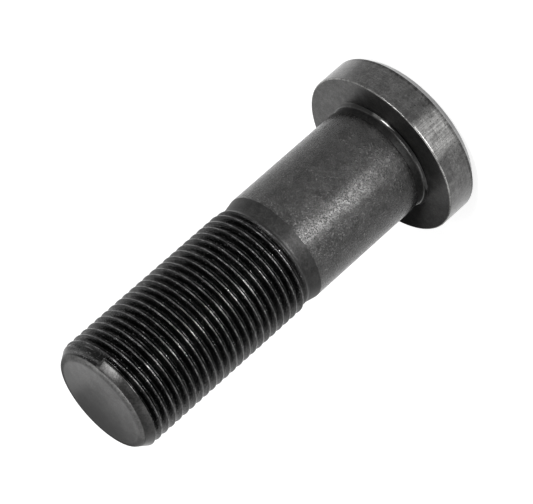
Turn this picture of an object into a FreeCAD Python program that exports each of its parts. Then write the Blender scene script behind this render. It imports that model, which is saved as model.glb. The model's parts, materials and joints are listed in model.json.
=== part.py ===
import FreeCAD, Part
import math
import os

# Wheel bolt: one forged steel piece, turned and thread-rolled, standing on its round head.
# The origin is the middle of the head's outer face, and +Z runs along the axis to the threaded tip.
# All sizes are in millimetres.

# Round head
head_diameter = 30.2
head_height = 6.7
head_chamfer_width = 1.3      # across the outer face's edge
head_chamfer_height = 1.3     # along the axis
rim_round = 0.3               # broken edge round the clamping face

# Relief cut under the head, with a fillet that runs out into the clamping face
relief_length = 2.0           # from the clamping face to the shank's end
relief_depth = 0.4            # below the shank's surface
relief_fillet = 0.8
relief_wall_length = 0.25     # sloped wall between the cut and the shank

# Plain shank, the length that sits in the hub's bore
shank_diameter = 20.0
shank_length = 24.8           # from the clamping face

# Neck: the shank tapers down to the blank that the thread is rolled on
neck_taper_length = 2.1
neck_diameter = 19.1

# Threaded end, M20 x 1.5, given here by its major diameter
thread_diameter = 20.0
thread_pitch = 1.5
thread_runout_turns = 1.0     # turns over which the crests rise out of the neck
bolt_length = 63.5            # from the clamping face to the tip
tip_diameter = 17.4           # flat end face, inside the thread's root
tip_chamfer_length = 1.9
tip_round = 0.3               # broken edge round the end face

head_radius = head_diameter / 2
shank_radius = shank_diameter / 2
neck_radius = neck_diameter / 2
thread_radius = thread_diameter / 2
tip_radius = tip_diameter / 2
relief_radius = shank_radius - relief_depth

# Stations along the axis, from the head's outer face
clamping_face = head_height
shank_start = clamping_face + relief_length
shank_end = clamping_face + shank_length
neck = shank_end + neck_taper_length
thread_start = neck + thread_runout_turns * thread_pitch
tip = clamping_face + bolt_length
tip_chamfer_start = tip - tip_chamfer_length


def at(radius, height):
    return FreeCAD.Vector(radius, 0, height)


def rounded_corner(before, corner, after, radius):
    """The two tangent points and the middle point of an arc that rounds one corner of the profile."""
    towards_before = (before - corner).normalize()
    towards_after = (after - corner).normalize()
    half_angle = towards_before.getAngle(towards_after) / 2
    setback = radius / math.tan(half_angle)
    bisector = (towards_before + towards_after).normalize()
    middle = corner + bisector * (radius / math.sin(half_angle) - radius)
    return corner + towards_before * setback, middle, corner + towards_after * setback


def bolt_profile():
    """The half section of the bolt, from the middle of the head's face round to the middle of the tip."""
    # each corner of the section, with the radius that rounds it
    corners = [
        (at(0, 0), 0),
        (at(head_radius - head_chamfer_width, 0), 0),
        (at(head_radius, head_chamfer_height), 0),
        (at(head_radius, clamping_face), rim_round),
        (at(relief_radius, clamping_face), relief_fillet),
        (at(relief_radius, shank_start - relief_wall_length), 0),
        (at(shank_radius, shank_start), 0),
        (at(shank_radius, shank_end), 0),
        (at(neck_radius, neck), 0),
        (at(thread_radius, thread_start), 0),
        (at(thread_radius, tip_chamfer_start), 0),
        (at(tip_radius, tip), tip_round),
        (at(0, tip), 0),
    ]
    points = [corner for corner, radius in corners]
    edges = []
    last = points[0]
    for index in range(1, len(corners)):
        corner, radius = corners[index]
        if radius:
            start, middle, end = rounded_corner(points[index - 1], corner, points[index + 1], radius)
            edges.append(Part.LineSegment(last, start).toShape())
            edges.append(Part.Arc(start, middle, end).toShape())
            last = end
        else:
            edges.append(Part.LineSegment(last, corner).toShape())
            last = corner
    edges.append(Part.LineSegment(last, points[0]).toShape())
    return Part.Face(Part.Wire(edges))


wheel_bolt = bolt_profile().revolve(FreeCAD.Vector(0, 0, 0), FreeCAD.Vector(0, 0, 1), 360)

os.makedirs("parts", exist_ok=True)
wheel_bolt.exportStep("parts/wheel_bolt.step")
print("wheel_bolt valid", wheel_bolt.isValid(), "volume", round(wheel_bolt.Volume, 1))
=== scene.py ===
import bpy
import json
import math
from mathutils import Matrix, Vector


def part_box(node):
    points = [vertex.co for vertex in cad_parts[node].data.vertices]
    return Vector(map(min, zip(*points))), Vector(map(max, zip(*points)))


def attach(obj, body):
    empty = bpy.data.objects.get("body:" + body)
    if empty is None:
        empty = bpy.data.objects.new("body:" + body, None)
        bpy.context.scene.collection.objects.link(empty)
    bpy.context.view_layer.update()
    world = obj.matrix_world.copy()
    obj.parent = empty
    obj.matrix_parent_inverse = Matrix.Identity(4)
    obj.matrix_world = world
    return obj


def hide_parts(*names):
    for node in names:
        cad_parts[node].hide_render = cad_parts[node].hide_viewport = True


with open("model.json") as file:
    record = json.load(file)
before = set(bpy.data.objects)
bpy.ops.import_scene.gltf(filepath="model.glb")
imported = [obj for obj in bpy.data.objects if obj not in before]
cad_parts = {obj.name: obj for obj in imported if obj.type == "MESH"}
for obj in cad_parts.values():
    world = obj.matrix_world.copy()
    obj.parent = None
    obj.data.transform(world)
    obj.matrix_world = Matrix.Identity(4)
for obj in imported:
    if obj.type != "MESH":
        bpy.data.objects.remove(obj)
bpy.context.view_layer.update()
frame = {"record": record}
mm = 0.001
scene = bpy.context.scene
scene.view_settings.view_transform = "Standard"

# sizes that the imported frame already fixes
mounts = {mount["name"]: mount for mount in frame["record"]["mounts"]}
lowCorner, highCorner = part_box("wheel_bolt")
headRadius = (highCorner.x - lowCorner.x) / 2
tipHeight = highCorner.z
clampingHeight = mounts["clamping_face"]["pos_m"][2]


def pinSpan(mountName):
    # radius, lowest and highest station of a round mount along the bolt's axis
    mount = mounts[mountName]
    middle = mount["pos_m"][2]
    half = mount["dims"]["length_mm"] * mm / 2
    return mount["dims"]["r_mm"] * mm, middle - half, middle + half


shankRadius, shankStart, shankEnd = pinSpan("shank")
threadRadius, chamferStart = pinSpan("thread")[::2]
print("frame read: head radius", round(headRadius, 5), "tip at", round(tipHeight, 5))


def addObject(name, data):
    made = bpy.data.objects.new(name, data)
    scene.collection.objects.link(made)
    return made


# node helpers, the same for shader and geometry trees
def addNode(tree, kind, inputs=None, **settings):
    node = tree.nodes.new(kind)
    for name, value in settings.items():
        setattr(node, name, value)
    for key, value in (inputs or {}).items():
        plug(tree, node.inputs[key], value)
    return node


def plug(tree, socket, value):
    if isinstance(value, bpy.types.NodeSocket):
        tree.links.new(value, socket)
    else:
        socket.default_value = value


def calc(tree, operation, *values):
    inputs = dict(enumerate(values))
    return addNode(tree, "ShaderNodeMath", inputs, operation=operation).outputs[0]


def ramp(tree, value, low, high, toLow=0.0, toHigh=1.0, kind="SMOOTHSTEP"):
    inputs = {"Value": value, "From Min": low, "From Max": high, "To Min": toLow, "To Max": toHigh}
    return addNode(tree, "ShaderNodeMapRange", inputs, interpolation_type=kind).outputs[0]


def blend(tree, mask, low, high):
    # low where the mask is nought, high where it is one
    change = calc(tree, "SUBTRACT", high, low)
    return calc(tree, "MULTIPLY_ADD", mask, change, low)


# turned outline of the bolt, in millimetres where the frame doesn't give the size
boltSizes = {
    "headChamfer": 1.3,
    "headEdgeRound": 0.14,
    "rimRound": 0.3,
    "reliefDepth": 0.25,
    "reliefFillet": 0.7,
    "reliefWall": 0.1,
    "shankEdgeRound": 0.08,
    "neckTaper": 2.1,
    "neckDiameter": 19.1,
    "tipDiameter": 17.4,
    "tipRound": 0.7,
    "segments": 144,       # round the axis
    "arcPoints": 6,        # along each rounded corner
    "edgeHold": 0.05,      # a loop this far from each corner keeps flat faces flat
    "holdsInRun": 4,       # runs no longer than this many holds get no loops
    "mergeWithin": 0.002,  # closes the seam and the two poles
}

# rolled thread, right-hand, in millimetres
threadSizes = {
    "pitch": 1.5,
    "depth": 0.92,
    "crestFlat": 0.19,
    "crestRound": 0.05,
    "rootRound": 0.3,
    "flankAngle": 30.0,   # degrees
    "runoutTurns": 1.3,   # crests rise out of the neck over this many turns
    "rowsPerTurn": 22,
    "rowBunch": 0.08,     # rows drawn together at the crest, as a share of a turn
    "cutRound": 0.04,     # softness of the edge where the tip chamfer cuts the crests
    "startAngle": -87.0,  # where the helix begins, degrees from +X
    "closeBelow": 0.45,   # grooves close up between these ways below and above the chamfer's start
    "closeAbove": 0.25,
    "bluntStart": 0.07,   # share of a turn where the first crest is cut off square
    "bluntEnd": 0.24,     # and where the cut has run out
}

neckRadius = boltSizes["neckDiameter"] / 2 * mm
neckHeight = shankEnd + boltSizes["neckTaper"] * mm
reliefRadius = shankRadius - boltSizes["reliefDepth"] * mm
tipRadius = boltSizes["tipDiameter"] / 2 * mm
chamferSlope = (threadRadius - tipRadius) / (tipHeight - chamferStart)
chamferHeight = boltSizes["headChamfer"] * mm
threadDepth = threadSizes["depth"] * mm
threadPitch = threadSizes["pitch"] * mm
# the thread ends on the chamfer just below its own root
threadEnd = chamferStart + (threadDepth + 2 * threadSizes["cutRound"] * mm) / chamferSlope
threadEndRadius = threadRadius - (threadEnd - chamferStart) * chamferSlope


def roundedCorner(before, corner, after, radius):
    # points of the arc that rounds one corner of the outline
    toBefore = (before - corner).normalized()
    toAfter = (after - corner).normalized()
    half = toBefore.angle(toAfter) / 2
    setback = radius / math.tan(half)
    centre = corner + (toBefore + toAfter).normalized() * (radius / math.sin(half))
    start = corner + toBefore * setback - centre
    sweep = math.pi - 2 * half
    side = 1 if toBefore.cross(toAfter) < 0 else -1
    steps = boltSizes["arcPoints"]
    turns = [Matrix.Rotation(side * sweep * step / steps, 2) for step in range(steps + 1)]
    return [centre + turn @ start for turn in turns]


def turnedOutline(corners):
    # corners are (radius, height, rounding); each long straight run gets a loop near both its ends
    hold = boltSizes["edgeHold"] * mm
    places = [Vector(corner[:2]) for corner in corners]
    runs = []
    for index, corner in enumerate(corners):
        rounding = corner[2]
        if rounding:
            runs.append(roundedCorner(*places[index - 1:index + 2], rounding))
        else:
            runs.append([places[index]])
    points = list(runs[0])
    for run in runs[1:]:
        gap = run[0] - points[-1]
        if gap.length > boltSizes["holdsInRun"] * hold:
            step = gap.normalized() * hold
            points += [points[-1] + step, run[0] - step]
        points += run
    return points


def outlines():
    # the outline below the thread and above it
    edge = boltSizes["headEdgeRound"] * mm
    below = [
        (0, 0, 0),
        (headRadius - chamferHeight, 0, edge),
        (headRadius, chamferHeight, edge),
        (headRadius, clampingHeight, boltSizes["rimRound"] * mm),
        (reliefRadius, clampingHeight, boltSizes["reliefFillet"] * mm),
        (reliefRadius, shankStart - boltSizes["reliefWall"] * mm, 0),
        (shankRadius, shankStart, boltSizes["shankEdgeRound"] * mm),
        (shankRadius, shankEnd, 0),
        (neckRadius, neckHeight, 0),
    ]
    above = [
        (threadEndRadius, threadEnd, 0),
        (tipRadius, tipHeight, boltSizes["tipRound"] * mm),
        (0, tipHeight, 0),
    ]
    return turnedOutline(below), turnedOutline(above)


def latheTree():
    # spins the outline round Z and winds the thread's rows between its two halves as one helix
    tree = bpy.data.node_groups.new("turnAndRollThread", "GeometryNodeTree")
    face = tree.interface
    face.new_socket("Geometry", in_out="INPUT", socket_type="NodeSocketGeometry")
    wholeNumbers = ["Segments", "Rows Below", "Thread Rows", "Rows Per Turn"]
    measures = ["Pitch", "Depth", "Crest Flat", "Crest Round", "Root Round", "Cut Round", "Flank Slope",
                "Thread Radius", "Neck Radius", "Thread Start", "Thread End", "Runout",
                "Chamfer Start", "Chamfer Slope", "Start Angle",
                "Close From", "Close To", "Blunt Start", "Blunt End", "Row Bunch", "Merge Within"]
    for name in wholeNumbers:
        face.new_socket(name, in_out="INPUT", socket_type="NodeSocketInt")
    for name in measures:
        face.new_socket(name, in_out="INPUT", socket_type="NodeSocketFloat")
    face.new_socket("Material", in_out="INPUT", socket_type="NodeSocketMaterial")
    face.new_socket("Geometry", in_out="OUTPUT", socket_type="NodeSocketGeometry")
    given = addNode(tree, "NodeGroupInput").outputs

    # one grid: its columns go round the bolt, its rows from the head's middle to the tip's;
    # a half is added to a whole number before it is compared or cut, to keep clear of rounding
    outline = given["Geometry"]
    count = addNode(tree, "GeometryNodeAttributeDomainSize", {"Geometry": outline}).outputs["Point Count"]
    rows = calc(tree, "ADD", count, given["Thread Rows"])
    columns = calc(tree, "ADD", given["Segments"], 1)
    grid = addNode(tree, "GeometryNodeMeshGrid", {"Vertices X": columns, "Vertices Y": rows}).outputs["Mesh"]
    index = addNode(tree, "GeometryNodeInputIndex").outputs[0]
    column = calc(tree, "FLOOR", calc(tree, "DIVIDE", calc(tree, "ADD", index, 0.5), rows))
    row = calc(tree, "SUBTRACT", index, calc(tree, "MULTIPLY", column, rows))
    share = calc(tree, "DIVIDE", column, given["Segments"])
    angle = calc(tree, "MULTIPLY_ADD", share, math.tau, given["Start Angle"])

    # helix: a row keeps its place on the thread's section and climbs one pitch each turn
    threadRow = calc(tree, "SUBTRACT", row, given["Rows Below"])
    turn = calc(tree, "DIVIDE", threadRow, given["Rows Per Turn"])
    wave = calc(tree, "SINE", calc(tree, "MULTIPLY", turn, math.tau))
    turn = calc(tree, "MULTIPLY_ADD", wave, given["Row Bunch"], turn)
    climb = calc(tree, "SUBTRACT", calc(tree, "ADD", turn, share), 1.0)
    freeHeight = calc(tree, "MULTIPLY_ADD", climb, given["Pitch"], given["Thread Start"])
    height = calc(tree, "MAXIMUM", freeHeight, given["Thread Start"])
    height = calc(tree, "MINIMUM", height, given["Thread End"])

    # section: flank, crest and root by the way from the crest's middle, fading in along the run-out
    fromCrest = calc(tree, "ABSOLUTE", calc(tree, "SUBTRACT", calc(tree, "FRACT", turn), 0.5))
    fromCrest = calc(tree, "MULTIPLY", fromCrest, given["Pitch"])
    fromFlat = calc(tree, "SUBTRACT", fromCrest, calc(tree, "MULTIPLY", given["Crest Flat"], 0.5))
    flank = calc(tree, "SUBTRACT", given["Depth"], calc(tree, "DIVIDE", fromFlat, given["Flank Slope"]))
    ridge = calc(tree, "SMOOTH_MIN", flank, given["Depth"], given["Crest Round"])
    ridge = calc(tree, "SMOOTH_MAX", ridge, 0.0, given["Root Round"])
    root = calc(tree, "SUBTRACT", given["Thread Radius"], given["Depth"])
    rolled = calc(tree, "ADD", root, ridge)
    runoutEnd = calc(tree, "ADD", given["Thread Start"], given["Runout"])
    fade = ramp(tree, height, given["Thread Start"], runoutEnd)
    rolled = blend(tree, fade, given["Neck Radius"], rolled)

    # grooves close up on the chamfer, but where the first crest is cut off the root stays bare
    overChamfer = calc(tree, "SUBTRACT", height, given["Chamfer Start"])
    drop = calc(tree, "MULTIPLY", overChamfer, given["Chamfer Slope"])
    cone = calc(tree, "SUBTRACT", given["Thread Radius"], drop)
    isCut = calc(tree, "GREATER_THAN", share, given["Blunt Start"])
    bluntMiddle = calc(tree, "MULTIPLY", calc(tree, "ADD", given["Blunt Start"], given["Blunt End"]), 0.5)
    isCut = calc(tree, "MULTIPLY", isCut, ramp(tree, share, bluntMiddle, given["Blunt End"], 1.0, 0.0))
    closed = blend(tree, isCut, cone, root)
    closing = ramp(tree, height, given["Close From"], given["Close To"])
    rolled = blend(tree, closing, rolled, closed)
    threadPlace = calc(tree, "SMOOTH_MIN", rolled, cone, given["Cut Round"])

    # plain rows read the outline by their number
    past = calc(tree, "ADD", given["Rows Below"], given["Thread Rows"])
    isAbove = calc(tree, "GREATER_THAN", calc(tree, "ADD", row, 0.5), past)
    isBelow = calc(tree, "LESS_THAN", calc(tree, "ADD", row, 0.5), given["Rows Below"])
    isThread = calc(tree, "SUBTRACT", 1.0, calc(tree, "ADD", isAbove, isBelow))
    outlineRow = calc(tree, "SUBTRACT", row, calc(tree, "MULTIPLY", isAbove, given["Thread Rows"]))
    place = addNode(tree, "GeometryNodeInputPosition").outputs[0]
    sampled = addNode(tree, "GeometryNodeSampleIndex", data_type="FLOAT_VECTOR", domain="POINT")
    plug(tree, sampled.inputs["Geometry"], outline)
    plug(tree, sampled.inputs["Value"], place)
    plug(tree, sampled.inputs["Index"], outlineRow)
    onOutline = addNode(tree, "ShaderNodeSeparateXYZ", {0: sampled.outputs[0]}).outputs
    radius = blend(tree, isThread, onOutline["X"], threadPlace)
    level = blend(tree, isThread, onOutline["Z"], height)
    east = calc(tree, "MULTIPLY", radius, calc(tree, "COSINE", angle))
    north = calc(tree, "MULTIPLY", radius, calc(tree, "SINE", angle))
    target = addNode(tree, "ShaderNodeCombineXYZ", {"X": east, "Y": north, "Z": level}).outputs[0]
    mesh = addNode(tree, "GeometryNodeSetPosition", {"Geometry": grid, "Position": target}).outputs[0]

    # for the finish: the share of rolled thread here, and the way from its crest, one at the root
    offCrest = calc(tree, "MULTIPLY", calc(tree, "DIVIDE", fromCrest, given["Pitch"]), 2.0)
    filled = calc(tree, "MULTIPLY", closing, calc(tree, "SUBTRACT", 1.0, isCut))
    stillOpen = calc(tree, "SUBTRACT", 1.0, filled)
    rolledShare = calc(tree, "MULTIPLY", calc(tree, "MULTIPLY", fade, stillOpen), isThread)
    for name, value in (("offCrest", offCrest), ("rolled", rolledShare)):
        store = addNode(tree, "GeometryNodeStoreNamedAttribute", {"Geometry": mesh, "Name": name},
                        data_type="FLOAT", domain="POINT")
        plug(tree, store.inputs["Value"], value)
        mesh = store.outputs[0]
    merging = {"Geometry": mesh, "Distance": given["Merge Within"]}
    mesh = addNode(tree, "GeometryNodeMergeByDistance", merging).outputs[0]
    mesh = addNode(tree, "GeometryNodeSetShadeSmooth", {"Geometry": mesh, "Shade Smooth": True}).outputs[0]
    mesh = addNode(tree, "GeometryNodeRealizeInstances", {"Geometry": mesh}).outputs[0]
    finish = addNode(tree, "GeometryNodeSetMaterial", {"Geometry": mesh, "Material": given["Material"]})
    addNode(tree, "NodeGroupOutput", {"Geometry": finish.outputs[0]})
    return tree


def makeBolt(material):
    below, above = outlines()
    threadTurns = (threadEnd - neckHeight) / threadPitch + 1
    threadRows = math.ceil(threadTurns * threadSizes["rowsPerTurn"]) + 1
    outline = bpy.data.meshes.new("boltOutline")
    points = [(point.x, 0, point.y) for point in below + above]
    outline.from_pydata(points, [], [])
    blank = addObject("boltBlank", outline)
    tree = latheTree()
    modifier = blank.modifiers.new("turnAndRollThread", "NODES")
    modifier.node_group = tree
    values = {
        "Segments": boltSizes["segments"],
        "Rows Below": len(below),
        "Thread Rows": threadRows,
        "Rows Per Turn": threadSizes["rowsPerTurn"],
        "Pitch": threadPitch,
        "Depth": threadDepth,
        "Crest Flat": threadSizes["crestFlat"] * mm,
        "Crest Round": threadSizes["crestRound"] * mm,
        "Root Round": threadSizes["rootRound"] * mm,
        "Cut Round": threadSizes["cutRound"] * mm,
        "Flank Slope": math.tan(math.radians(threadSizes["flankAngle"])),
        "Thread Radius": threadRadius,
        "Neck Radius": neckRadius,
        "Thread Start": neckHeight,
        "Thread End": threadEnd,
        "Runout": threadSizes["runoutTurns"] * threadPitch,
        "Chamfer Start": chamferStart,
        "Chamfer Slope": chamferSlope,
        "Start Angle": math.radians(threadSizes["startAngle"]),
        "Close From": chamferStart - threadSizes["closeBelow"] * mm,
        "Close To": chamferStart + threadSizes["closeAbove"] * mm,
        "Blunt Start": threadSizes["bluntStart"],
        "Blunt End": threadSizes["bluntEnd"],
        "Row Bunch": threadSizes["rowBunch"],
        "Merge Within": boltSizes["mergeWithin"] * mm,
        "Material": material,
    }
    for item in tree.interface.items_tree:
        if item.in_out == "INPUT" and item.name in values:
            modifier[item.identifier] = values[item.name]
    depsgraph = bpy.context.evaluated_depsgraph_get()
    mesh = bpy.data.meshes.new_from_object(blank.evaluated_get(depsgraph))
    bpy.data.objects.remove(blank)
    print("bolt turned and rolled:", len(mesh.vertices), "points,", len(mesh.polygons), "faces")
    return addObject("bolt", mesh)


# where each finish lies on the bolt, in millimetres
finishZones = {
    "soft": 0.04,                # half the width of the change between two zones
    "headTop": 0.1,              # the head's zone reaches this far over the clamping face
    "underHead": 0.1,            # and the zone under the head this far into it
    "sideBand": (-0.25, -0.1),   # the head's side begins here, from the head's radius
    "chamferBand": (-1.5, -1.3),
    "chamferSoft": 0.1,
    "reliefFoot": 0.02,
    "reliefSoft": 0.02,
    "reliefBand": (0.5, 0.8),    # the relief ends here, from the shank's radius
    "floorBand": (0.02, 0.1),    # and its floor here, from its own radius
    "crystalBand": (0.6, 4.5),   # crystals set in here, from the shank's lower end
    "taperSoft": 0.03,
    "tipSoft": 0.4,
    "tipFaceShare": 0.6,         # of the tip's rounding, taken as end face
    "tipFaceSoft": 0.1,
    "tipEdgeWidth": 1.0,
    "rimWearWidth": 0.25,
    "footWearWidth": 0.25,
    "headEdgeLift": 0.2,         # painted shade line over the head's chamfer
    "headEdgeWidth": 0.38,
    "edgeCore": 0.35,            # share of an edge's width at full strength
    "axisGuard": 0.01,           # nothing is divided by a smaller radius
}

# finish: colours as linear reflectances, then roughness, patterns, tones and heights of the coat
steelFinish = {
    "shank": (0.047, 0.0466, 0.0462),
    "taper": (0.028, 0.0278, 0.0276),
    # near-black thread, partly a dark coat and partly painted shade in the grooves
    "grooveCoatAndShade": (0.009, 0.009, 0.009),
    "rollingMark": (0.085, 0.0845, 0.084),
    "crest": (0.031, 0.031, 0.031),
    "crestLine": (0.105, 0.105, 0.105),
    "threadSpeck": (0.2, 0.2, 0.2),
    "tipChamfer": (0.027, 0.0267, 0.0264),
    # painted light and shade on the tip's face: the lit colour on the camera's side, the shaded one away from
    # it
    "tipFaceLitSide": (0.106, 0.105, 0.104),
    "tipFaceShadedSide": (0.02, 0.0198, 0.0196),
    "head": (0.108, 0.107, 0.106),
    "headChamfer": (0.14, 0.139, 0.14),
    "clampingFace": (0.082, 0.081, 0.08),
    "relief": (0.04, 0.0397, 0.0394),
    "reliefFloor": (0.036, 0.0358, 0.0355),
    "filletDark": (0.02, 0.0198, 0.0196),
    "bareSteel": (0.52, 0.515, 0.505),

    "shankRoughness": (0.16, 0.3),
    "taperRoughness": 0.5,
    "tipRoughness": 0.3,
    "tipEdgeDulling": 0.3,         # added round the tip's end face
    "threadRoughness": 0.2,
    "faceRoughness": 0.36,         # clamping face
    "reliefRoughness": 0.1,
    "reliefFloorRoughness": 0.38,
    "wornGloss": 0.1,              # taken off where an edge is worn

    # noise patterns: scale per mm, detail, roughness
    "cloud": (0.55, 4.0, 0.55),
    "mottle": (1.9, 4.0, 0.65),
    "grain": (3.4, 2.0, 0.6),      # crystals of the phosphate coat
    "speckle": (4.4, 1.0, 0.5),    # sparkling crystals
    "patches": (1.2, 5.0, 0.7),
    "pits": (2.6, 2.0, 0.6),
    "threadSpecks": (5.2, 1.0, 0.5),
    # patterns drawn out: scale per mm across and along the axis, then detail and roughness
    "scratchStretch": (4.2, 0.16),
    "scratch": (1.0, 2.0, 0.55),
    "turningStretch": (0.15, 7.0),
    "turning": (1.0, 2.0, 0.6),
    # patterns along the helix: scale from crest to root, for each radian, and per mm along the axis
    "marksStretch": (6.5, 2.4, 0.7),
    "dashesStretch": (2.0, 7.0, 1.6),
    "alongHelix": (1.0, 2.0, 0.6),

    # values of a pattern between which it sets in
    "evenLimits": (0.3, 0.7),
    "speckleLimits": (0.3, 0.72),
    "crystalLimits": (0.46, 0.74),
    "scratchLimits": (0.35, 0.65),
    "markLimits": (0.58, 0.7),
    "dashLimits": (0.5, 0.6),
    "threadSpeckLimits": (0.67, 0.73),
    "pitLimits": (0.6, 0.68),
    "rubbedLimits": (0.34, 0.6),
    "rimWearLimits": (0.38, 0.54),
    "footWearLimits": (0.42, 0.62),
    "headMottleLimits": (0.3, 0.65),
    "headEdgeLimits": (0.35, 0.6),

    # way from the crest, one at the root
    "crestBand": (0.08, 0.52),
    "crestLineEnd": (0.1, 0.18),
    "crestMiddle": (0.0, 0.08),
    "crestMiddleShare": 0.25,
    "dashGapShare": 0.05,
    "tipShadeSpan": (-7.0, 10.0),     # painted shade: the tip's face darkens between these places on Y, in mm
    "tipCloud": 3.0,               # and its border wanders by up to this much

    # places round the axis, degrees from the camera's side
    "patchAzimuth": -12.0,         # rubbed patch on the head's side, partly a painted highlight
    "patchHalfWidth": 13.0,
    "pitHalfWidth": 24.0,          # pits round the patch
    "darkReflectionAzimuth": 30.0,      # painted dark reflection beside the patch
    "darkReflectionHalfWidth": 30.0,
    "filletDarkAzimuth": 22.0,      # darker stretch of the relief's fillet
    "filletDarkHalfWidth": 42.0,
    "filletGlintAzimuth": 24.0,   # and a painted glint within it
    "filletGlintHalfWidth": 9.5,
    "softStart": 1.25,             # shares of a half width between which such a place fades out
    "softEnd": 0.75,

    # shares of bare steel
    # painted glint on the relief's fillet
    "filletPaintedGlint": 0.2,
    # rubbed patch, partly a painted highlight
    "rubbedAndHighlightShare": 0.46,
    "rubbedLow": 0.5,              # least share between the scratches of the rubbed patch
    "wornShare": 0.68,
    "rimWearLow": 0.1,
    "footWear": 0.3,

    # factors on the colour
    "cloudTone": (0.8, 1.2),
    "mottleTone": (0.88, 1.12),
    "speckleTone": (0.92, 1.14),
    "grainTone": (0.86, 1.14),
    "headMottleTone": 0.78,
    # painted dark reflection on the head's side
    "darkReflectionTone": 0.68,
    "turningTone": 0.12,           # either way
    "pitTone": 0.45,
    "headEdgeShadeTone": 0.5,
    "headEdgeLow": 0.4,
    "scratchTone": 1.05,

    # height of the coat, as shares of its full height
    "coatHeight": 0.07,            # mm
    "grainShare": 0.35,
    "headSmoothing": 0.6,
    "threadSmoothing": 0.5,
    "shankCrystals": 0.9,
    "threadCrystals": 0.3,
    "markHeight": 0.5,
    "turningHeight": 0.1,
    "scratchHeight": (0.04, 0.16),  # off and on the rubbed patch
}


def newMaterial(name):
    material = bpy.data.materials.new(name)
    material.use_nodes = True
    tree = material.node_tree
    return material, tree, tree.nodes["Principled BSDF"]


def blendColor(tree, factor, low, high):
    node = addNode(tree, "ShaderNodeMix", data_type="RGBA")
    colours = [socket for socket in node.inputs if socket.type == "RGBA"]
    plug(tree, node.inputs[0], factor)
    for socket, colour in zip(colours, (low, high)):
        plug(tree, socket, colour if isinstance(colour, bpy.types.NodeSocket) else (*colour, 1))
    return next(socket for socket in node.outputs if socket.type == "RGBA")


def noise(tree, place, scale, detail, roughness):
    inputs = {"Vector": place, "Scale": scale, "Detail": detail, "Roughness": roughness}
    return addNode(tree, "ShaderNodeTexNoise", inputs).outputs["Fac"]


def stretched(tree, place, across, along):
    return addNode(tree, "ShaderNodeMapping", {"Vector": place, "Scale": (across, across, along)}).outputs[0]


def distance(tree, first, second):
    squares = [calc(tree, "MULTIPLY", way, way) for way in (first, second)]
    return calc(tree, "SQRT", calc(tree, "ADD", *squares))


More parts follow.
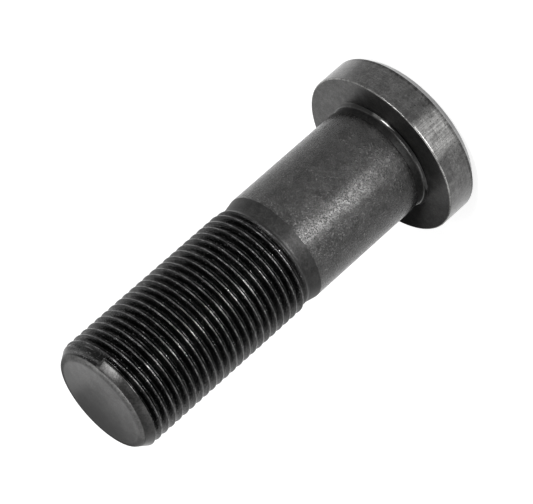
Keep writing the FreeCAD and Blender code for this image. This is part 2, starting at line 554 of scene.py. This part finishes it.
def phosphatedSteel():
    look = steelFinish
    zone = finishZones
    material, tree, shader = newMaterial("phosphatedSteel")
    shader.inputs["Metallic"].default_value = 1.0

    # place on the bolt in millimetres, and its distance from the axis
    place = addNode(tree, "ShaderNodeTexCoord").outputs["Object"]
    place = stretched(tree, place, 1 / mm, 1 / mm)
    x, y, z = addNode(tree, "ShaderNodeSeparateXYZ", {0: place}).outputs
    radius = distance(tree, x, y)
    around = calc(tree, "ARCTAN2", y, x)
    rolled = addNode(tree, "ShaderNodeAttribute", attribute_name="rolled").outputs["Fac"]
    offCrest = addNode(tree, "ShaderNodeAttribute", attribute_name="offCrest").outputs["Fac"]

    def product(*factors):
        result = factors[0]
        for factor in factors[1:]:
            result = calc(tree, "MULTIPLY", result, factor)
        return result

    def unless(mask):
        return calc(tree, "SUBTRACT", 1.0, mask)

    def above(height, soft=zone["soft"]):
        return ramp(tree, z, height / mm - soft, height / mm + soft)

    def band(edge, name):
        # the two ends of a zone's soft border
        return [edge / mm + way for way in zone[name]]

    def nearEdge(edgeRadius, edgeHeight, width):
        # one on a turned edge, fading to nought at this width, in mm
        outward = calc(tree, "SUBTRACT", radius, edgeRadius / mm)
        upward = calc(tree, "SUBTRACT", z, edgeHeight / mm)
        return ramp(tree, distance(tree, outward, upward), width * zone["edgeCore"], width, 1.0, 0.0)

    def aroundAxis(azimuth, halfWidth):
        # one on a stretch of the bolt's side, by its direction from the axis, with soft ends
        lean = math.radians(azimuth)
        reach = math.radians(halfWidth)
        facing = calc(tree, "MULTIPLY_ADD", x, math.sin(lean), calc(tree, "MULTIPLY", y, -math.cos(lean)))
        facing = calc(tree, "DIVIDE", facing, calc(tree, "MAXIMUM", radius, zone["axisGuard"]))
        return ramp(tree, facing, math.cos(reach * look["softStart"]), math.cos(reach * look["softEnd"]))

    def alongHelix(across, along, climb):
        ways = {"X": (offCrest, across), "Y": (around, along), "Z": (z, climb)}
        inputs = {axis: calc(tree, "MULTIPLY", *pair) for axis, pair in ways.items()}
        helixPlace = addNode(tree, "ShaderNodeCombineXYZ", inputs).outputs[0]
        return noise(tree, helixPlace, *look["alongHelix"])

    def dimmed(mask, tone):
        return ramp(tree, mask, 0.0, 1.0, 1.0, tone)

    # patterns: coat, crystals, lengthwise scratches, turning marks, and rolling marks along the helix
    cloud = noise(tree, place, *look["cloud"])
    mottle = noise(tree, place, *look["mottle"])
    grain = noise(tree, place, *look["grain"])
    speckle = noise(tree, place, *look["speckle"])
    patches = noise(tree, place, *look["patches"])
    scratch = noise(tree, stretched(tree, place, *look["scratchStretch"]), *look["scratch"])
    turning = noise(tree, stretched(tree, place, *look["turningStretch"]), *look["turning"])
    marks = alongHelix(*look["marksStretch"])
    dashes = alongHelix(*look["dashesStretch"])
    even = look["evenLimits"]

    # zones along the bolt
    onHead = unless(above(clampingHeight + zone["headTop"] * mm))
    headSide = product(onHead, ramp(tree, radius, *band(headRadius, "sideBand")))
    onChamfer = product(unless(above(chamferHeight, zone["chamferSoft"])),
                        ramp(tree, radius, *band(headRadius, "chamferBand")))
    underHead = product(above(clampingHeight - zone["underHead"] * mm), unless(above(shankStart)))
    onRelief = product(above(clampingHeight + zone["reliefFoot"] * mm),
                       unless(above(shankStart, zone["reliefSoft"])),
                       ramp(tree, radius, *band(shankRadius, "reliefBand"), 1.0, 0.0))
    reliefFloor = product(onRelief, ramp(tree, radius, *band(reliefRadius, "floorBand"), 1.0, 0.0))
    onShank = product(above(shankStart), unless(above(shankEnd)))
    onTaper = product(above(shankEnd, zone["taperSoft"]), unless(above(neckHeight + threadPitch)))
    onTip = product(above((chamferStart + threadEnd) / 2, zone["tipSoft"]), unless(rolled))
    tipFaceDrop = boltSizes["tipRound"] * mm * zone["tipFaceShare"]
    onTipFace = above(tipHeight - tipFaceDrop, zone["tipFaceSoft"])

    # thread: near-black, partly a dark coat and partly painted shade in the grooves; two thin lines beside
    # the crest's middle, broken up along their length, and bright specks
    crestBand = ramp(tree, offCrest, *look["crestBand"], 1.0, 0.0)
    crestLine = product(ramp(tree, offCrest, *look["crestLineEnd"], 1.0, 0.0),
                        ramp(tree, offCrest, *look["crestMiddle"], look["crestMiddleShare"], 1.0))
    brokenCrest = product(crestLine, ramp(tree, dashes, *look["dashLimits"], look["dashGapShare"], 1.0))
    specks = ramp(tree, noise(tree, place, *look["threadSpecks"]), *look["threadSpeckLimits"])
    rollingMarks = ramp(tree, marks, *look["markLimits"])
    threadColour = blendColor(tree, rollingMarks, look["grooveCoatAndShade"], look["rollingMark"])
    threadColour = blendColor(tree, crestBand, threadColour, look["crest"])
    threadColour = blendColor(tree, brokenCrest, threadColour, look["crestLine"])
    threadColour = blendColor(tree, specks, threadColour, look["threadSpeck"])

    # tip's face: painted light and shade, lighter on the camera's side and darker away from it, with a cloudy
    # border
    wandering = calc(tree, "ADD", y, calc(tree, "MULTIPLY", mottle, look["tipCloud"]))
    paintedTipShade = ramp(tree, wandering, *look["tipShadeSpan"])
    tipColour = blendColor(tree, paintedTipShade, look["tipFaceLitSide"], look["tipFaceShadedSide"])

    # fillet under the head: darker on one side, with a painted glint
    fillet = product(onRelief, unless(reliefFloor))
    darkerStretch = product(fillet, aroundAxis(look["filletDarkAzimuth"], look["filletDarkHalfWidth"]))
    paintedGlint = product(fillet, aroundAxis(look["filletGlintAzimuth"], look["filletGlintHalfWidth"]))

    # rubbed patch on the head's side, with lengthwise scratches, partly a painted highlight where the lamps'
    # reflection falls
    patch = aroundAxis(look["patchAzimuth"], look["patchHalfWidth"])
    rubbedAndHighlight = product(patch, headSide,
                     ramp(tree, scratch, *look["scratchLimits"], look["rubbedLow"], 1.0),
                     ramp(tree, patches, *look["rubbedLimits"], look["rubbedLow"], 1.0))

    # edges worn to bare steel, broken up along their length: the rim, and the head's outer face
    rimWear = product(nearEdge(headRadius, clampingHeight, zone["rimWearWidth"]),
                      ramp(tree, patches, *look["rimWearLimits"], look["rimWearLow"], 1.0))
    footWear = product(nearEdge(headRadius - chamferHeight, 0, zone["footWearWidth"]),
                       ramp(tree, patches, *look["footWearLimits"]), look["footWear"])
    worn = calc(tree, "MAXIMUM", rimWear, footWear)

    # each layer covers the ones before it
    colour = blendColor(tree, onTaper, look["shank"], look["taper"])
    for mask, coat in (
        (rolled, threadColour),
        (onTip, look["tipChamfer"]),
        (onTipFace, tipColour),
        (onHead, look["clampingFace"]),
        (onRelief, look["relief"]),
        (reliefFloor, look["reliefFloor"]),
        (headSide, look["head"]),
        (onChamfer, look["headChamfer"]),
        (darkerStretch, look["filletDark"]),
        (product(paintedGlint, look["filletPaintedGlint"]), look["bareSteel"]),
        (product(rubbedAndHighlight, look["rubbedAndHighlightShare"]), look["bareSteel"]),
        (product(worn, look["wornShare"]), look["bareSteel"]),
    ):
        colour = blendColor(tree, mask, colour, coat)

    # the coat is cloudy all over, and lighter where crystals catch the light
    clouds = product(ramp(tree, cloud, *even, *look["cloudTone"]),
                     ramp(tree, mottle, *even, *look["mottleTone"]))
    crystals = product(ramp(tree, speckle, *look["speckleLimits"], *look["speckleTone"]),
                       ramp(tree, grain, *even, *look["grainTone"]))

    # the head's side is mottled, turned and pitted, with a painted dark reflection beside the patch
    sidePatches = product(headSide, patches)
    headMottle = ramp(tree, sidePatches, *look["headMottleLimits"], 1.0, look["headMottleTone"])
    paintedDarkReflection = product(headSide, aroundAxis(look["darkReflectionAzimuth"], look["darkReflectionHalfWidth"]))
    turned = ramp(tree, turning, *even, -look["turningTone"], look["turningTone"])
    pitZone = product(headSide, aroundAxis(look["patchAzimuth"], look["pitHalfWidth"]))
    pits = product(pitZone, ramp(tree, noise(tree, place, *look["pits"]), *look["pitLimits"]))
    headTone = product(headMottle, dimmed(paintedDarkReflection, look["darkReflectionTone"]),
                       calc(tree, "MULTIPLY_ADD", headSide, turned, 1.0), dimmed(pits, look["pitTone"]))
    # painted shade: a dark line along the edge over the head's chamfer, broken up along its length
    edgeHeight = chamferHeight + zone["headEdgeLift"] * mm
    paintedEdgeShade = product(nearEdge(headRadius, edgeHeight, zone["headEdgeWidth"]),
                       ramp(tree, patches, *look["headEdgeLimits"], look["headEdgeLow"], 1.0))
    scratchTone = ramp(tree, product(headSide, scratch), *look["scratchLimits"], 1.0, look["scratchTone"])
    tone = product(clouds, crystals, headTone, dimmed(paintedEdgeShade, look["headEdgeShadeTone"]), scratchTone)
    toned = addNode(tree, "ShaderNodeVectorMath", {0: colour}, operation="SCALE")
    plug(tree, toned.inputs["Scale"], tone)
    plug(tree, shader.inputs["Base Color"], toned.outputs[0])

    rough = ramp(tree, mottle, *even, *look["shankRoughness"])
    rough = blend(tree, rolled, rough, look["threadRoughness"])
    rough = blend(tree, product(onTaper, unless(rolled)), rough, look["taperRoughness"])
    rough = blend(tree, product(above(chamferStart), unless(rolled)), rough, look["tipRoughness"])
    tipEdge = nearEdge(tipRadius, tipHeight, zone["tipEdgeWidth"])
    rough = calc(tree, "MULTIPLY_ADD", tipEdge, look["tipEdgeDulling"], rough)
    rough = blend(tree, underHead, rough, look["faceRoughness"])
    rough = blend(tree, onRelief, rough, look["reliefRoughness"])
    rough = blend(tree, reliefFloor, rough, look["reliefFloorRoughness"])
    rough = calc(tree, "SUBTRACT", rough, product(worn, look["wornGloss"]))
    plug(tree, shader.inputs["Roughness"], rough)

    # height of the coat: grain, less on the head and in the thread, and none on the tip's face and
    # under the head; then crystals, rolling marks, turning marks and scratches
    flat = calc(tree, "MAXIMUM", onTipFace, underHead)
    height = product(grain, ramp(tree, flat, 0.0, 1.0, look["grainShare"], 0.0),
                     unless(product(onHead, look["headSmoothing"])),
                     unless(product(rolled, look["threadSmoothing"])))
    shankCrystals = product(onShank, ramp(tree, z, *band(shankStart, "crystalBand")))
    crystalHeight = calc(tree, "MULTIPLY_ADD", shankCrystals, look["shankCrystals"],
                         product(rolled, look["threadCrystals"]))
    for layer in (
        product(ramp(tree, speckle, *look["crystalLimits"]), crystalHeight),
        product(marks, rolled, look["markHeight"]),
        product(turning, onShank, look["turningHeight"]),
        product(scratch, headSide, ramp(tree, patch, 0.0, 1.0, *look["scratchHeight"])),
    ):
        height = calc(tree, "ADD", height, layer)
    bumpInputs = {"Height": height, "Distance": look["coatHeight"] * mm, "Strength": 1.0}
    bump = addNode(tree, "ShaderNodeBump", bumpInputs)
    plug(tree, shader.inputs["Normal"], bump.outputs[0])
    print("steel finish mixed")
    return material


# camera: the photograph's viewing angle, with the tip turned to the lower left
cameraView = {
    "distance": 472.0,     # to the aim point, mm
    "elevation": 23.8,     # degrees
    "roll": -131.55,
    "aimHeight": 32.4,     # on the bolt's axis, mm above the head's face
    "aimRight": -0.61,     # aim beside the axis, mm to the picture's right
    "focalPixels": 3000.0,
    "pictureWidth": 533.0,
    "sensorWidth": 36.0,   # mm
    "clip": (0.01, 50.0),  # m
}


def makeCamera():
    rise = math.radians(cameraView["elevation"])
    roll = math.radians(cameraView["roll"])
    forward = Vector((0, math.cos(rise), -math.sin(rise)))
    level = Vector((1, 0, 0))
    upright = level.cross(forward)
    right = level * math.cos(roll) + upright * math.sin(roll)
    up = upright * math.cos(roll) - level * math.sin(roll)
    data = bpy.data.cameras.new("camera")
    data.sensor_width = cameraView["sensorWidth"]
    data.lens = cameraView["focalPixels"] / cameraView["pictureWidth"] * data.sensor_width
    data.clip_start, data.clip_end = cameraView["clip"]
    camera = addObject("camera", data)
    aim = Vector((0, 0, cameraView["aimHeight"] * mm)) + right * cameraView["aimRight"] * mm
    turn = Matrix((right, up, -forward)).transposed().to_4x4()
    camera.matrix_world = Matrix.Translation(aim - forward * cameraView["distance"] * mm) @ turn
    scene.camera = camera


# light: white surroundings, and lamps placed by azimuth from the camera's side, in degrees
lightSetup = {
    "surround": 0.5,
    "softboxes": [
        # name, azimuth, elevation, then distance, width and height in metres, and power in watts
        ("keyBox", 38, 46, 0.7, 0.28, 0.28, 3.0),
        ("sideBox", -75, 20, 0.6, 0.3, 0.3, 0.5),
    ],
    # low cards in front, which the shank and the crests mirror as one lengthwise streak; millimetres
    "cards": [
        {"azimuth": -20, "distance": 62, "height": 12, "tilt": 20, "width": 22, "length": 58, "power": 0.034},
        {"azimuth": -14, "distance": 135, "height": 10, "tilt": 6, "width": 22, "length": 86, "power": 0.25},
    ],
    # dark shades over the clamping face and the tip, seen only in their reflections; millimetres
    "shades": [
        {"height": 16, "clear": 0.18, "corners": [(-50, 6), (-50, 45), (-10.5, 45), (-10.5, 6)]},
        {"height": 80, "clear": 0.08, "corners": [(-16, 22.5), (-16, 44), (4, 44), (4, 22.5)]},
        {"height": 10, "clear": 0.0,
         "corners": [(-17, 19), (-17, 44), (0, 44), (0, 11), (-7, 8.5), (-10.3, 3), (-12, 8.5)]},
    ],
    "shadeTone": 0.01,
}


def seenDirectly(tree):
    # one for rays from the camera and for mirror-like ones, nought for the light that falls on things
    path = addNode(tree, "ShaderNodeLightPath").outputs
    seen = calc(tree, "MAXIMUM", path["Is Camera Ray"], path["Is Glossy Ray"])
    return calc(tree, "MAXIMUM", seen, path["Is Transmission Ray"])


def makeWorld():
    world = bpy.data.worlds.new("whiteSurround")
    scene.world = world
    world.use_nodes = True
    tree = world.node_tree
    strength = ramp(tree, seenDirectly(tree), 0.0, 1.0, lightSetup["surround"], 1.0, "LINEAR")
    background = tree.nodes["Background"]
    background.inputs["Color"].default_value = (1, 1, 1, 1)
    plug(tree, background.inputs["Strength"], strength)


def areaLamp(name, width, length, power):
    data = bpy.data.lights.new(name, "AREA")
    data.shape = "RECTANGLE"
    data.size = width
    data.size_y = length
    data.energy = power
    lamp = addObject(name, data)
    lamp.visible_camera = False
    return lamp


def outward(azimuth, elevation=0.0):
    # direction from the bolt's axis
    around = math.radians(azimuth)
    rise = math.radians(elevation)
    return Vector((math.sin(around) * math.cos(rise), -math.cos(around) * math.cos(rise), math.sin(rise)))


def makeSoftboxes():
    target = Vector((0, 0, tipHeight / 2))
    for name, azimuth, elevation, distanceAway, width, height, power in lightSetup["softboxes"]:
        away = outward(azimuth, elevation)
        lamp = areaLamp(name, width, height, power)
        lamp.location = target + away * distanceAway
        lamp.rotation_euler = (-away).to_track_quat("-Z", "Y").to_euler()


def makeCards():
    upward = Vector((0, 0, 1))
    for card in lightSetup["cards"]:
        away = outward(card["azimuth"])
        tilt = math.radians(card["tilt"])
        facing = upward * math.cos(tilt) - away * math.sin(tilt)
        along = away * math.cos(tilt) + upward * math.sin(tilt)
        lamp = areaLamp("frontCard", card["width"] * mm, card["length"] * mm, card["power"])
        turn = Matrix((along.cross(-facing), along, -facing)).transposed()
        place = away * card["distance"] * mm + upward * card["height"] * mm
        lamp.matrix_world = Matrix.Translation(place) @ turn.to_4x4()


def shadeMaterial(clearness):
    # dark from below, and nothing from above
    material, tree, black = newMaterial("shadeCard")
    tone = lightSetup["shadeTone"]
    black.inputs["Base Color"].default_value = (tone, tone, tone, 1)
    black.inputs["Roughness"].default_value = 1.0
    clear = addNode(tree, "ShaderNodeBsdfTransparent").outputs[0]
    isBack = addNode(tree, "ShaderNodeNewGeometry").outputs["Backfacing"]
    share = calc(tree, "MAXIMUM", isBack, clearness)
    mixed = addNode(tree, "ShaderNodeMixShader", {0: share, 1: black.outputs[0], 2: clear}).outputs[0]
    plug(tree, tree.nodes["Material Output"].inputs["Surface"], mixed)
    return material


def makeShades():
    for shade in lightSetup["shades"]:
        points = [(x * mm, y * mm, shade["height"] * mm) for x, y in shade["corners"]]
        mesh = bpy.data.meshes.new("shadeCard")
        mesh.from_pydata(points, [], [range(len(points))])
        mesh.materials.append(shadeMaterial(shade["clear"]))
        card = addObject("shadeCard", mesh)
        card.visible_camera = False
        card.visible_diffuse = False
        card.visible_shadow = False


floorLook = {"halfWidth": 6.0, "shade": 0.6, "glow": 0.7}


def makeFloor():
    half = floorLook["halfWidth"]
    corners = [(-half, -half, 0), (half, -half, 0), (half, half, 0), (-half, half, 0)]
    mesh = bpy.data.meshes.new("floor")
    mesh.from_pydata(corners, [], [(0, 1, 2, 3)])
    floor = addObject("floor", mesh)
    material, tree, shader = newMaterial("paleFloor")
    shade = floorLook["shade"]
    shader.inputs["Base Color"].default_value = (shade, shade, shade, 1)
    shader.inputs["Roughness"].default_value = 1.0
    shader.inputs["Specular IOR Level"].default_value = 0.0
    shader.inputs["Emission Color"].default_value = (1, 1, 1, 1)
    glow = calc(tree, "MULTIPLY", seenDirectly(tree), floorLook["glow"])
    plug(tree, shader.inputs["Emission Strength"], glow)
    mesh.materials.append(material)


makeCamera()
makeWorld()
makeSoftboxes()
makeCards()
makeShades()
makeFloor()
print("camera, light and floor in place")

bolt = makeBolt(phosphatedSteel())
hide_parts("wheel_bolt")
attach(bolt, "root")
